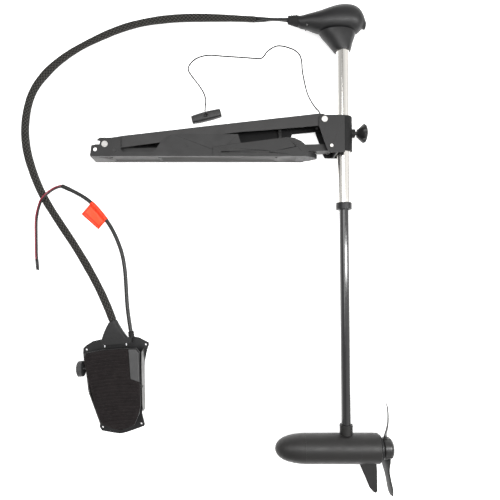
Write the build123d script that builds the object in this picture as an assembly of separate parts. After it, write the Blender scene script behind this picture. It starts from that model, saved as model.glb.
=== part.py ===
from build123d import *
import math
import os

# Bow-mount, foot-controlled trolling motor laid flat on a surface.
# Row frame: +Z up, surface at z = 0, column along Y (head at +Y), mount and pedal on the -X side.
# All working coordinates are shifted by (SHIFT_X, SHIFT_Y) so that the origin is the bottom centre of the box.

os.makedirs("parts", exist_ok=True)

# ---------------------------------------------------------------- driving dimensions (mm)
SHIFT_X, SHIFT_Y = 51.28, -23.08
ZC = 46.0                      # height of the column and pod axes
XC = 307.0                     # column axis
YP = -632.0                    # pod axis
POD_R, POD_WALL = 46.0, 4.0    # 92 mm motor tube
TUBE_R, TUBE_IN = 22.25, 19.05 # outer column tube
SHAFT_R, SHAFT_IN = 15.25, 12.0
RUN = 0.05                     # radial running clearance
TUBE_LOW, TUBE_TOP = 154.0, 712.0
SHAFT_LOW, SHAFT_TOP = -582.0, 748.0
P1 = (-464.0, 337.0)           # outer arm to base
P2 = (239.0, 418.0)            # outer arm to bracket
P3 = (260.7, 332.0)            # inner arm to bracket
P4 = (-434.0, 317.0)           # inner arm to base (open pivot)
BASE_W = 92.0
BOLT_X = (-446.0, -292.0, 85.0)
BOLT_Z = (20.0, 72.0)
BOLT_R = 4.2
KNOB_Y = 383.6
SHEATH_D, CABLE_D, JACKET_D, WIRE_D, ROPE_D = 26.0, 9.0, 13.0, 5.0, 4.0
PED = Pos(-432, -447, 0) * Rot(0, 0, 5)   # pedal frame: u across, v along
PED_PIVOT_Z = 36.0

nodes = {}


def cyl(p, q, r):
    p, q = Vector(*p), Vector(*q)
    d = q - p
    return Solid.make_cylinder(r, d.length, Plane(origin=p, z_dir=d.normalized()))


def ring(p, q, ro, ri):
    return cyl(p, q, ro) - cyl(p, q, ri)


def box(x0, x1, y0, y1, z0, z1):
    return Pos((x0 + x1) / 2, (y0 + y1) / 2, (z0 + z1) / 2) * Box(x1 - x0, y1 - y0, z1 - z0)


def prism(pts, z0, z1, r=0):
    s = make_face(Polyline(*pts, close=True))
    if r:
        s = fillet(s.vertices(), r)
    return extrude(Pos(0, 0, z0) * s, amount=z1 - z0, dir=(0, 0, 1))


def turned(profile, origin, axis_x):
    """Revolved solid: profile is (along, radius) pairs, closed on the axis."""
    pl = Plane(origin=Vector(*origin), x_dir=Vector(*axis_x), z_dir=Vector(0, 0, 1))
    f = pl * make_face(Polyline(*profile, close=True))
    return revolve(f, axis=Axis(Vector(*origin), Vector(*axis_x)), revolution_arc=360)


def group(*solids):
    out = []
    for s in solids:
        out += list(s.solids())
    return Compound(children=out) if len(out) > 1 else out[0]


# ---------------------------------------------------------------- cords
def cord(name, pts, d):
    """Round tube on straight runs with tangent arcs as large as the runs allow."""
    v = [Vector(*p) for p in pts]
    radii = []
    for a, b, c in zip(v, v[1:], v[2:]):
        turn = math.radians((b - a).get_angle(c - b))
        radii.append(0.45 * min((b - a).length, (c - b).length) / math.tan(turn / 2))
    path = FilletPolyline(*pts, radius=radii)
    section = Plane(origin=v[0], z_dir=(v[1] - v[0]).normalized()) * Circle(d / 2)
    solid = sweep(section, path=path)
    length = path.length if hasattr(path, "length") else sum(e.length for e in path.edges())
    want = math.pi * d * d / 4 * length
    print(f"{name}: length {length:.1f}, radii {min(radii):.0f} to {max(radii):.0f}, volume ratio {solid.volume / want:.4f}")
    print("   route", [tuple(round(c, 1) for c in (p[0] + SHIFT_X, p[1] + SHIFT_Y, p[2])) for p in pts])
    nodes[name] = solid
    return solid


SHEATH = [(-452.5, -233.0, 13.5), (-474.0, -178.0, 13), (-515.5, -95.3, 13), (-574.2, 4.3, 13), (-635.4, 93.0, 13), (-690.8, 178.3, 13),
          (-728.4, 262.2, 13), (-751.5, 337.2, 13), (-759.2, 406.9, 13), (-754.3, 474.2, 13), (-735.1, 542.0, 13),
          (-692.9, 600.9, 13), (-641.1, 649.3, 13), (-584.5, 687.5, 13), (-523.4, 719.5, 13), (-463.7, 747.2, 13),
          (-400.9, 769.2, 13), (-334.4, 783.5, 13), (-261.8, 792.5, 13), (-180.0, 794.9, 13), (-100.0, 793.5, 13),
          (-38.0, 791.5, 13), (20.4, 788.4, 13)]
CABLE_A = [(20.4, 793.2, 13), (41, 789, 18.5), (64, 781.5, 27.5), (88, 774, 38.5), (108, 770.5, 45.5), (126, 767, 50.9)]
CABLE_B = [(20.4, 783.6, 13), (42, 786.0, 8.5), (66, 787.5, 13), (90, 781, 24), (108.5, 773, 35.0), (126, 767, 41.1)]
POWER = [(-393.5, -268.0, 10), (-401.0, -230.0, 8), (-408.3, -180.1, 6.5), (-412.2, -119.9, 6.5), (-416.7, -61.7, 6.5), (-426.6, -9.8, 6.5),
          (-443.2, 35.0, 6.5), (-463.7, 76.6, 6.5), (-492.7, 118.4, 6.5), (-531.9, 162.2, 6.5), (-580.0, 194.3, 6.5),
          (-632.0, 217.3, 6.5)]
WIRES = [(-632, 217.3, 6.5), (-645, 213.5, 11), (-656.1, 202.8, 24), (-670.5, 186.5, 34), (-688.5, 166, 34), (-699.4, 149.5, 23.5),
          (-711.8, 130.1, 9), (-718.5, 102.1, 3.2), (-717.7, 66.0, 2.6), (-716.4, 26.0, 2.6), (-715.2, -12.0, 2.6),
          (-712, -40, 2.6)]
ROPE = [(232.0, 442.0, 46), (230.5, 457.0, 44), (218.6, 470.5, 38), (206.0, 496.4, 26), (196.1, 523.0, 14.5), (189.2, 553.0, 6.5),
          (183.8, 586.2, 2.4), (178.0, 616.9, 2), (177.7, 643.5, 2), (172.8, 667.9, 2), (157.0, 685.4, 2), (136.2, 694.5, 2),
          (112.8, 701.4, 2), (90.8, 702.4, 2), (73.2, 693.0, 2), (58.1, 681.9, 2), (49.5, 667.7, 2), (39.1, 656.6, 2),
          (17.2, 658.0, 2), (-13.9, 660.6, 2), (-53.0, 663.2, 2), (-95.0, 665.9, 2), (-136.0, 670.0, 2), (-163.4, 666.3, 2),
          (-185.6, 657.3, 2), (-202.9, 642.5, 2), (-213.6, 621.4, 2), (-202.7, 601.8, 2), (-186.1, 580.2, 2), (-168.6, 557.2, 2),
          (-154.5, 532.9, 2), (-149.5, 507.0, 4), (-151.7, 487.0, 10.5), (-151.7, 470.0, 16)]


def beside(pts, off):
    """The same route moved sideways by off in plan."""
    out = []
    for i, p in enumerate(pts):
        a, b = pts[max(i - 1, 0)], pts[min(i + 1, len(pts) - 1)]
        dx, dy = b[0] - a[0], b[1] - a[1]
        n = math.hypot(dx, dy)
        out.append((p[0] - dy / n * off, p[1] + dx / n * off, p[2]))
    return out


WIRE_RED = beside(WIRES, -2.7)
WIRE_BLACK = beside(WIRES, 2.7)
cord("main_sheath", SHEATH, SHEATH_D)
cord("steering_cable_a", CABLE_A, CABLE_D)
cord("steering_cable_b", CABLE_B, CABLE_D)
cord("power_cable", POWER, JACKET_D)
cord("red_wire", WIRE_RED, WIRE_D)
cord("black_wire", WIRE_BLACK, WIRE_D)
cord("pull_rope", ROPE, ROPE_D)

# Heat-shrink sleeves and flat ring terminals on the two wires.
term = []
for w in (WIRE_RED, WIRE_BLACK):
    (x0, y0, z0), (x1, y1, z1) = w[-2], w[-1]
    n = math.hypot(x1 - x0, y1 - y0)
    ux, uy = (x1 - x0) / n, (y1 - y0) / n
    t = lambda s, z=2.6: (x1 + ux * s, y1 + uy * s, z)
    zt = 4.2 if w is WIRE_RED else 1.4
    e = -2.7 if w is WIRE_RED else 2.7
    c = (x1 + ux * 36 + uy * e, y1 + uy * 36 - ux * e)
    sleeve = cyl(t(0), t(26), 2.6)
    tongue = cyl(t(23, zt), t(32.5, zt), 1.3)
    eye = ring((*c, zt - 0.7), (*c, zt + 0.7), 5.0, 2.6)
    term.append(max((sleeve + tongue + eye).solids(), key=lambda q: q.volume))
nodes["wire_terminals"] = group(*term)

# Flag tag folded round the power cable, lying towards the mount.
a, b = Vector(-533.1, 160.8, 0), Vector(-474.1, 108.4, 0)
along = (b - a).normalized()
tag_pl = Plane(origin=(a + b) / 2 + Vector(0, 0, 5.6), x_dir=along, z_dir=(0, 0, 1))
tag = extrude(tag_pl * (Pos(0, -31.2) * Rectangle(74, 32)), amount=1.6)
nodes["cable_tag"] = tag.solids()[0]

# ---------------------------------------------------------------- column
nodes["outer_tube"] = ring((XC, TUBE_LOW, ZC), (XC, TUBE_TOP, ZC), TUBE_R, TUBE_IN)
collar = ring((XC, 132, ZC), (XC, TUBE_LOW, ZC), 25.5, SHAFT_R + RUN) + ring((XC, TUBE_LOW, ZC), (XC, 190, ZC), TUBE_IN, SHAFT_R + RUN)
collar -= box(XC + 21, XC + 27, 137, 149, ZC - 8, ZC + 8)
nodes["tube_collar"] = collar
nodes["upper_bush"] = ring((XC, 684, ZC), (XC, TUBE_TOP, ZC), TUBE_IN, SHAFT_R + RUN)
nodes["steering_shaft"] = ring((XC, SHAFT_LOW, ZC), (XC, SHAFT_TOP, ZC), SHAFT_R, SHAFT_IN)
drum = ring((XC, 727, ZC), (XC, 747, ZC), 23, SHAFT_R)
for y in (732, 742):
    drum -= ring((XC, y - 2.5, ZC), (XC, y + 2.5, ZC), 30, 19.5)
nodes["steering_drum"] = drum

# ---------------------------------------------------------------- control head
def head_body(t):
    secs = []
    for x, cy, ry, rz in ((160, 762.4, 18.0, 18), (183, 760.1, 22.9, 24), (207, 759, 29.7, 31), (233.5, 758.8, 36.9, 38), (262, 762.8, 42.6, 43.2),
                          (290, 766.4, 47.0, 45.6), (320, 767.36, 48.1, 45.9), (343, 765.2, 46.2, 43.8), (357, 763.8, 40.9, 38), (367, 763.0, 31.5, 31),
                          (376, 758.0, 20.5, 21.5), (385, 751, 8.5, 9.5)):
        pl = Plane(origin=(x + (t if x < 170 else -t if x > 384 else 0), cy, ZC), x_dir=(0, 1, 0), z_dir=(1, 0, 0))
        secs.append(pl * Ellipse(ry - t, rz - t))
    return loft(secs)


head_skin = head_body(0)
cone_secs = [Plane(origin=(x, y, ZC), x_dir=(1, 0, 0), z_dir=(0, 1, 0)) * Ellipse(rx, rz)
             for x, y, rx, rz in ((306.2, 659, 26.2, 26.0), (302, 675, 35.5, 31), (296.3, 696, 47, 36), (291.5, 714, 57.5, 39.5), (289.5, 722, 60.5, 40.5))]
head_outer = head_skin + loft(cone_secs)
head_cavity = head_body(3.5) & box(100, 420, 718, 900, -20, 120)
bore = cyl((XC, 640, ZC), (XC, TUBE_TOP, ZC), TUBE_R) + cyl((XC, 700, ZC), (XC, 730, ZC), SHAFT_R + 1.0) + cyl((XC, 723, ZC), (XC, 752, ZC), 26)
head_hollow = head_outer - head_cavity - bore
SEAM = 766.0
head_screw = [cyl((188, 743, 55), (188, 743, 64.4), 2.0) + cyl((188, 743, 62), (188, 743, 64.4), 3.2)]
head_screw.append(cyl((188, 743, 37), (188, 743, 27.6), 2.0) + cyl((188, 743, 30), (188, 743, 27.6), 3.2))
for z in (ZC + 20, ZC - 20):
    head_screw.append(cyl((324.5, 704, z), (324.5, 693, z), 3.2) + cyl((324.5, 704, z), (324.5, 716, z), 1.9))
screws = group(*head_screw)
lower = head_hollow & box(100, 420, 600, SEAM, -20, 120)
for s in head_screw:
    lower -= s
lower -= cyl((150, 766, ZC), (172, 766, ZC), 13)
upper = head_hollow & box(100, 420, SEAM, 900, -20, 120)
upper -= cyl((150, 766, ZC), (172, 766, ZC), 13)
nodes["head_lower_housing"] = max(lower.solids(), key=lambda s: s.volume)
nodes["head_top_cover"] = max(upper.solids(), key=lambda s: s.volume)
nodes["head_screws"] = screws
neck_secs = [Plane(origin=(x, y, ZC), x_dir=(0, 1, 0), z_dir=(1, 0, 0)) * Circle(r) for x, y, r in ((126, 766.6, 12.4), (142, 764.6, 15.6), (159.5, 762.5, 18.6))]
neck = loft(neck_secs)
for i in range(4):
    x = 128.5 + i * 7.6
    r = 12.9 + i * 1.45
    neck += cyl((x, 766.6 - i * 0.9 + 2.0, ZC), (x + 3.2, 766.5 - i * 0.9 + 2.0, ZC), r)
neck += cyl((159, 766, ZC), (166, 766, ZC), 12.9)
neck -= box(159.5, 167, 700, 800, 0, 100) - cyl((150, 766, ZC), (170, 766, ZC), 12.9)
nodes["head_neck"] = max(neck.solids(), key=lambda q: q.volume)

# ---------------------------------------------------------------- lower unit
nose = [(79.6, 0), (81, 9), (85, 17), (93, 25.5), (105, 33), (120, 38.5), (140, 43), (158, 45.3), (175, 46), (175, 41), (158, 40.5),
        (140, 38.2), (120, 33.5), (105, 27.5), (98, 22), (96, 14), (96, 0)]
nodes["nose_cone"] = turned(nose, (0, YP, ZC), (1, 0, 0)).solids()[0]
housing = ring((175, YP, ZC), (345, YP, ZC), POD_R, POD_R - POD_WALL)
stub = cyl((XC, -588.5, ZC), (XC, -557, ZC), 20.6) + ring((XC, -563, ZC), (XC, -560.5, ZC), 21.3, 20)
housing = housing + (stub - cyl((0, YP, ZC), (500, YP, ZC), POD_R - 0.5)) - cyl((XC, SHAFT_LOW, ZC), (XC, -540, ZC), SHAFT_R)
nodes["motor_housing"] = housing.solids()[0]
rear = turned([(345, 42), (345, 46), (406.5, 46), (408.5, 45.2), (410, 43), (410, 9), (396, 9), (396, 15), (362, 15), (362, 20), (350, 20), (350, 42)],
              (0, YP, ZC), (1, 0, 0))
skeg = prism([(346, YP - 42), (352, -690), (366, -722), (378, -752), (390, -766), (399, -769.5), (403, -764), (403, -700), (401, YP - 40)], ZC - 4, ZC + 4)
skeg -= cyl((0, YP, ZC), (500, YP, ZC), 41.5)
nodes["rear_housing"] = (rear + skeg).solids()[0]
mag = ring((195, YP, ZC), (300, YP, ZC), POD_R - POD_WALL, 36)
nodes["magnets"] = group(mag & box(190, 305, YP - 32, YP + 32, ZC + 5, ZC + 60), mag & box(190, 305, YP - 32, YP + 32, ZC - 60, ZC - 5))
nodes["front_bearing"] = ring((160, YP, ZC), (171, YP, ZC), 40.5, 6 + RUN)
nodes["rear_bearing"] = ring((350, YP, ZC), (361, YP, ZC), 20, 6 + RUN)
nodes["shaft_seal"] = ring((396, YP, ZC), (404, YP, ZC), 9, 6 + RUN)
brush = ring((318, YP, ZC), (324, YP, ZC), POD_R - POD_WALL, 16) + box(306, 318, YP + 15.2, YP + 24, ZC - 4, ZC + 4) + box(306, 318, YP - 24, YP - 15.2, ZC - 4, ZC + 4)
bolts = []
for s in (1, -1):
    brush -= cyl((300, YP + s * 38.5, ZC), (330, YP + s * 38.5, ZC), 2.6)
    bolts.append(cyl((171, YP + s * 38.5, ZC), (349, YP + s * 38.5, ZC), 2.5))
nodes["brush_plate"] = brush.solids()[0]
nodes["through_bolts"] = group(*bolts)
nodes["motor_shaft"] = cyl((150, YP, ZC), (446, YP, ZC), 6)
arm = ring((205, YP, ZC), (290, YP, ZC), 33, 6)
for i in range(12):
    ang = math.radians(30 * i)
    arm -= cyl((200, YP + 30 * math.cos(ang), ZC + 30 * math.sin(ang)), (295, YP + 30 * math.cos(ang), ZC + 30 * math.sin(ang)), 2.2)
nodes["armature"] = arm
nodes["commutator"] = ring((298, YP, ZC), (316, YP, ZC), 15, 6)

# ---------------------------------------------------------------- propeller
def blade(sign):
    """One swept, pitched blade; sign +1 points to +Y, -1 to -Y."""
    secs = []
    # radius, chord, thickness, pitch angle, rake along X, sweep along Z
    for r, c, t, pitch, rake, sweep_z in ((24, 36, 9, 40, -1, 0), (52, 38, 7.6, 27, -1, -4), (82, 32, 6.2, 18, 4, -7), (110, 37, 5.4, 14, 7.5, 3), (129, 35, 4.4, 12, 8, 12), (136.5, 22, 3.0, 11, 7.5, 17)):
        a = math.radians(pitch)
        pl = Plane(origin=(434 + rake, YP + sign * r, ZC - sign * sweep_z), x_dir=(math.sin(a), 0, -sign * math.cos(a)), z_dir=(0, sign, 0))
        secs.append(pl * Ellipse(c / 2, t / 2))
    return loft(secs)


hub = turned([(421, 6), (421, 30), (424.5, 32.8), (441, 32.8), (448, 30.5), (453, 24.5), (455, 17), (455, 10.5), (446.5, 10.5), (446.5, 6)], (0, YP, ZC), (1, 0, 0))
prop = hub
for s in (1, -1):
    prop += blade(s)
for i in range(10):
    ang = math.radians(36 * i + 18)
    prop += Pos(436, YP + 32.2 * math.cos(ang), ZC + 32.2 * math.sin(ang)) * Rot(math.degrees(ang), 0, 0) * Box(20, 2.6, 2.6)
prop -= cyl((418, YP, ZC), (446.5, YP, ZC), 6)
prop -= cyl((446.4, YP, ZC), (470, YP, ZC), 10.5)
pin = cyl((434, YP - 20, ZC), (434, YP + 20, ZC), 2.0)
prop -= pin
nodes["motor_shaft"] -= pin
nodes["propeller"] = prop.solids()[0]
nodes["prop_spacer"] = ring((411.2, YP, ZC), (415.5, YP, ZC), 41, 6) + ring((415.5, YP, ZC), (421, YP, ZC), 29.8, 6)
nut = Plane(origin=(446.5, YP, ZC), x_dir=(0, 1, 0), z_dir=(1, 0, 0)) * RegularPolygon(8.5, 6)
nodes["prop_fasteners"] = group(extrude(nut, amount=7), pin)

# ---------------------------------------------------------------- column bracket and its knob
plate = [(228, 432), (303, 432), (303, 311), (252, 311), (243, 330), (232, 366), (221, 396), (222, 424)]
br = prism(plate, 4, 8) + prism(plate, 84, 88) + box(277, 283, 311, 432, 8, 84)
br += cyl((XC, 322, ZC), (XC, 436, ZC), 28.5)
br += box(283, 296, 330, 425, 8, 84)
br += cyl((XC + 20, KNOB_Y, ZC), (344, KNOB_Y, ZC), 14)
br -= cyl((XC, 300, ZC), (XC, 450, ZC), TUBE_R + RUN)
br -= cyl((XC + 20, KNOB_Y, ZC), (350, KNOB_Y, ZC), 6 + RUN)
# split line of the clamp on the far side of the column
br -= box(334, 340, 318, 364, ZC - 0.8, ZC + 0.8)
for p in (P2, P3):
    br -= cyl((*p, 0), (*p, 92), 5)
nodes["column_bracket"] = br.solids()[0]
nodes["bracket_pins"] = group(cyl((*P2, 3), (*P2, 89), 5) + ring((*P2, 88), (*P2, 90), 9.5, 5) + cyl((*P2, 89), (*P2, 91), 6) + ring((*P2, 2), (*P2, 4), 9.5, 4.9),
                              cyl((*P3, 3), (*P3, 90), 5) + cyl((*P3, 88), (*P3, 91), 5.2) + ring((*P3, 2), (*P3, 4), 9.5, 4.9)
                              + ring((*P3, 8), (*P3, 23.5), 9, 5) + ring((*P3, 68.5), (*P3, 84), 9, 5))
kn = turned([(330.2, 0), (330.2, 6), (352, 6), (352, 13), (356, 16), (364, 24), (371, 30.5), (376, 31), (380.5, 28), (383.5, 20), (385, 9), (385, 0)],
            (0, KNOB_Y, ZC), (1, 0, 0))
for i in range(6):
    ang = math.radians(60 * i + 30)
    kn -= cyl((352, KNOB_Y + 40 * math.cos(ang), ZC + 40 * math.sin(ang)), (388, KNOB_Y + 40 * math.cos(ang), ZC + 40 * math.sin(ang)), 13)
nodes["tension_knob"] = kn.solids()[0]

# ---------------------------------------------------------------- outer arm
flange = [(-464, 318), (-476, 322), (-484, 335), (-480, 349), (-468, 356), (-405, 366), (-120, 399.5), (224, 438.5), (243, 434), (254, 424), (254, 410), (244, 400), (226, 399.6), (64, 384.8), (-32, 377.4), (-120, 366), (-440, 323)]
web = [(-405, 366), (-120, 399.5), (224, 438.5), (238, 437.2), (238, 433.5), (224, 434.8), (-120, 395.8), (-405, 362.3)]
far_flange = flange[:-6] + [(244, 402), (229.6, 400.2), (141.8, 391.7), (137, 379), (67, 371), (-77, 345), (-440, 323)]
oa = prism(far_flange, 9, 13) + prism(flange, 79, 83) + prism(web, 9, 83)
for p in (P1, P2):
    oa -= cyl((*p, 0), (*p, 92), 5 + RUN)
LATCH = (100.0, 403.0)
oa -= cyl((*LATCH, 8), (*LATCH, 14), 3)
oa -= cyl((232, 430, ZC), (232, 445, ZC), 4)
nodes["outer_arm"] = oa.solids()[0]
nodes["arm_screws"] = group(cyl((225, 411, 13), (225, 411, 14.6), 4.5), cyl((*LATCH, 9), (*LATCH, 20.5), 3) + cyl((*LATCH, 20.5), (*LATCH, 22), 5))
nodes["rope_grommet"] = (cyl((232, 433, ZC), (232, 442, ZC), 4) + cyl((232, 438.2, ZC), (232, 441, ZC), 6.5)).solids()[0]
hdir = Vector(101.5, 26, 0).normalized()
hc = Vector(-146.5, 451.5, 16)
h0, h1 = hc - hdir * 51, hc + hdir * 51
pl = Plane(origin=h0, x_dir=hdir, z_dir=(0, 0, 1))
hprof = [(0, 0), (0.5, 10), (3, 12.6), (20, 14.6), (51, 16), (82, 14.9), (99, 13.4), (101.5, 10.5), (102, 0)]
handle = revolve(pl * make_face(Polyline(*hprof, close=True)), axis=Axis(h0, hdir), revolution_arc=360)
handle += cyl((-151.7, 470, 16), (-151.0, 455, 16), 5)
nodes["pull_handle"] = handle.solids()[0]
lever = prism([(x - 60, y - 5) for x, y in ((153, 416), (167, 416), (166, 390), (164.5, 325), (147, 325), (147, 330.5), (155.5, 332.5), (156, 390))], 14, 20)
nodes["latch_lever"] = (lever - cyl((*LATCH, 10), (*LATCH, 24), 3 + RUN)).solids()[0]

# ---------------------------------------------------------------- inner arm
dx, dy = P3[0] - P4[0], P3[1] - P4[1]
L = math.hypot(dx, dy)
ia_pl = Plane(origin=(*P4, 24), x_dir=(dx, dy, 0), z_dir=(0, 0, 1))
ia = extrude(ia_pl * (Pos(L / 2, 0) * SlotOverall(L + 22, 22)), amount=44)
ia -= extrude(Plane(origin=(*P4, 27), x_dir=(dx, dy, 0), z_dir=(0, 0, 1)) * (Pos(L / 2, 4) * Rectangle(L - 60, 22)), amount=38)
for s in (150, 300, 450, 600, 640):
    c = ia_pl.from_local_coords((s, -9, 22))
    ia -= Pos(c.X, c.Y, c.Z) * Rot(0, 0, math.degrees(math.atan2(dy, dx))) * Rot(90, 0, 0) * extrude(SlotOverall(26, 14), amount=6, both=True)
ia -= cyl((*P4, 0), (*P4, 92), 8)
ia -= cyl((*P3, 0), (*P3, 92), 5 + RUN)
nodes["inner_arm"] = ia.solids()[0]

# ---------------------------------------------------------------- mount base
wall = [(-509, 298), (178, 298), (186, 312), (183, 322), (168, 338), (148, 350), (118, 354), (-28, 336), (-38, 369), (-247, 369), (-262, 364),
        (-284, 346), (-300, 322), (-312, 311), (-405, 311), (-413, 322), (-413, 358), (-481, 358), (-491, 349), (-475, 346), (-475, 336), (-493, 336),
        (-507, 333)]
# Two side walls welded to the edges of a floor plate.
floor = make_face(Polyline((-511, 298, 85), (-520, 298, 7), (150, 298, 7), (150, 298, 85), close=True))
mb = [prism([(-511, 298)] + wall[1:], 85, 88), prism([(-520, 298)] + wall[1:], 4, 7), extrude(floor, amount=3, dir=(0, 1, 0))]


def base_cut(tool):
    for i, m in enumerate(mb):
        mb[i] = m - tool


for p, r in ((P1, 5), (P4, 3.5)):
    base_cut(cyl((*p, 0), (*p, 92), r))
base_cut(cyl((-495, 320, 0), (-495, 320, 92), 6.2))
for x in BOLT_X:
    for z in BOLT_Z:
        mb[2] -= cyl((x, 290, z), (x, 310, z), BOLT_R)
cover = [(-119, 299), (-119, 328), (118, 358.5), (140, 356.5), (163, 346.5), (178, 333), (187, 317), (184, 306), (176, 299)]
RIV = [(-95, 310), (60, 312), (150, 330)]
nc, fc = prism(cover, 88, 92), prism(cover, 0, 4)
for x, y in RIV:
    nc -= cyl((x, y, 80), (x, y, 95), 2.5)
    fc -= cyl((x, y, -2), (x, y, 10), 2.5)
    mb[0] -= cyl((x, y, 80), (x, y, 90), 2.5)
    mb[1] -= cyl((x, y, 2), (x, y, 10), 2.5)
nodes["mount_base"] = group(*mb)
nodes["near_cover"] = nc.solids()[0]
nodes["far_cover"] = fc.solids()[0]
nodes["cover_rivets"] = group(*[cyl((x, y, 84), (x, y, 92), 2.5) for x, y in RIV], *[cyl((x, y, 0), (x, y, 8), 2.5) for x, y in RIV],
                              cyl((-203, 333, 88), (-203, 333, 89.6), 4.5))
cap_plan = [(150, 7), (150, 85), (176, 83), (197, 74), (219, 52), (219, 40), (197, 18), (176, 9)]
capf = make_face(Polyline(*[(x, 299, z) for x, z in cap_plan], close=True))
cap = extrude(capf, amount=17, dir=(0, 1, 0))
cap -= Pos(219, 318, ZC) * Rot(0, 0, -14) * Box(120, 12, 120)
nodes["nose_cap"] = max(cap.solids(), key=lambda s: s.volume)
nodes["base_pins"] = group(cyl((*P1, 3), (*P1, 89), 5) + ring((*P1, 88), (*P1, 89.5), 10, 4.9) + cyl((*P1, 89), (*P1, 91), 6.5) + ring((*P1, 2.5), (*P1, 4), 10, 4.9),
                           cyl((*P4, 3.5), (*P4, 88.5), 3.5) + cyl((*P4, 88), (*P4, 89.5), 5.5) + cyl((*P4, 2.5), (*P4, 4), 5.5),
                           cyl((80, 333, 7), (80, 333, 21), 4))

# ---------------------------------------------------------------- foot pedal
outline = [(-108, 134), (-97, 143), (-75, 154), (-41, 158), (58, 158), (79, 152), (107.7, 134), (108.5, 127), (101, 109), (91, 73), (86.5, 37),
           (69, -94), (75, -130), (73.5, -136), (44, -144), (14, -151.4), (-7, -153.8), (-28, -149), (-66, -138.7), (-72.5, -126), (-70, -112),
           (-84, -54), (-101, 36), (-109.5, 95), (-110, 121)]
EARS = [(-98.1, 128), (98.6, 128), (-62.5, -127.8), (64.5, -127.8)]
pb = prism(outline, 0, 5)
side = [(-118, 5), (-118, 13), (-7, 45), (7, 45), (118, 13), (118, 5)]
side_r = [(-86, 5), (-86, 32), (-62, 43), (60, 48), (106, 43), (114, 5)]
wall_l = extrude(Plane.YZ * make_face(Polyline(*side, close=True)), amount=2.2, both=True)
wall_r = extrude(Plane.YZ * make_face(Polyline(*side_r, close=True)), amount=1.3, both=True)
RW = Pos(85.4, 5, 0) * Rot(0, 0, -3.6)
LW = Pos(-84, 0, 0) * Rot(0, 0, 9.1)
pb += box(-41, 58, 140, 158, 5, 27)
pb -= box(-37, 54, 144, 154, 5, 24)
DIAL = (72.0, 32.0)
side_plates = []
for w, ws in ((RW, wall_r), (LW, wall_l)):
    p = w * ws
    p -= cyl((-110, 0, PED_PIVOT_Z), (110, 0, PED_PIVOT_Z), 4)
    p -= cyl((-104, *DIAL), (-80, *DIAL), 4 + RUN)
    side_plates.append(PED * p.solids()[0])
nodes["pedal_side_plates"] = group(*side_plates)
for x, y in EARS:
    pb -= cyl((x, y, -1), (x, y, 8), 3.3)
for x in (-37.8, 33.9):
    pb -= Pos(x, 136.3, -1) * extrude(SlotOverall(14, 5, rotation=90), amount=8)
nodes["pedal_base"] = (PED * pb.solids()[0]).solids()[0]
nodes["pedal_pivot_pin"] = (PED * cyl((-88.5, 0, PED_PIVOT_Z), (87.5, 0, PED_PIVOT_Z), 4)).solids()[0]
tip = Plane(origin=(-452.5, -233, 13.5), z_dir=(Vector(-474, -178, 13) - Vector(-452.5, -233, 13.5)).normalized())
rootf = PED * (Plane(origin=(0.5, 158, 14), x_dir=(1, 0, 0), z_dir=(0, 1, 0)) * RectangleRounded(83, 26, 8))
midf = PED * (Plane(origin=(-1.5, 178, 14.3), x_dir=(1, 0, 0), z_dir=(0, 1, 0)) * RectangleRounded(63, 27, 9))
nodes["pedal_boot"] = loft([rootf, midf, tip * RectangleRounded(27, 27, 13.4)]).solids()[0]
gp = Vector(-393.5, -268, 10)
gd = (Vector(-401, -230, 8) - gp).normalized()
gr = cyl(tuple(gp - gd * 22), tuple(gp), 8.5)
for i in range(3):
    gr += cyl(tuple(gp - gd * (3.5 + 4 * i)), tuple(gp - gd * (1.2 + 4 * i)), 9.8)
gr -= PED * box(-60, 70, 100, 158, -10, 60)
nodes["pedal_grommet"] = max(gr.solids(), key=lambda s: s.volume)
plate_pts = [(-84, 124), (-35.5, 130), (20.4, 130), (79, 126), (88, 112), (83.5, 18), (79, -58), (72, -84), (54.5, -116), (13, -129), (-17, -120), (-49, -100), (-66, -40),
             (-83, 47), (-91, 98)]
btn = [(54.6, 124.6), (77.5, 122), (85.8, 110), (82, 27.5), (81.5, 19.5), (54.6, 31.2)]
btn_gap = [(54.0, 125.3), (78.0, 122.7), (86.5, 110.2), (82.7, 27.5), (82.1, 18.6), (54.0, 30.6)]
tr = prism(plate_pts, 50, 54)
tr -= prism(btn_gap, 49, 56)
for x in (-62, 56):
    tr += box(x - 4, x + 4, -9, 9, 40, 50) + cyl((x - 4, 0, PED_PIVOT_Z), (x + 4, 0, PED_PIVOT_Z), 9)
tr -= cyl((-100, 0, PED_PIVOT_Z), (100, 0, PED_PIVOT_Z), 4 + RUN)
nodes["treadle"] = (PED * tr.solids()[0]).solids()[0]
tread_pts = [(-82, 122), (-35.5, 128.3), (20.4, 128), (53.4, 126), (53.4, 30.6), (83, 18), (78.5, -58.6), (71.5, -83.7), (54, -115.5), (13, -128), (-16, -119), (-48, -99),
             (-65, -40), (-82, 47), (-89.8, 97.3)]
pad = prism(tread_pts, 54, 57.4)
ribs = None
for i in range(15):
    y = -116 + i * 17.0
    rib = box(-100, 100, y - 3.2, y + 3.2, 57.4, 59)
    ribs = rib if ribs is None else ribs + rib
inner = prism([(x * 0.955, y * 0.965) for x, y in tread_pts if True], 57.4, 59) & prism([(-100, 130), (51, 130), (51, 27), (100, 13), (100, -130), (-100, -130)], 57.4, 59)
pad += ribs & inner
nodes["tread_pad"] = (PED * max(pad.solids(), key=lambda s: s.volume)).solids()[0]
quad = ring((-24, 0, PED_PIVOT_Z), (-12, 0, PED_PIVOT_Z), 26, 4 + RUN) & box(-30, 0, -40, 40, 0, 50)
nodes["cable_quadrant"] = (PED * quad.solids()[0]).solids()[0]
tray_out = [(52.2, 126.4), (79, 124), (88, 111), (84, 27), (83, 17), (52.2, 29)]
tray_in = [(54.0, 125.0), (77.5, 122.7), (86.0, 110.2), (82.2, 27.5), (81.6, 18.8), (54.0, 30.8)]
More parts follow.
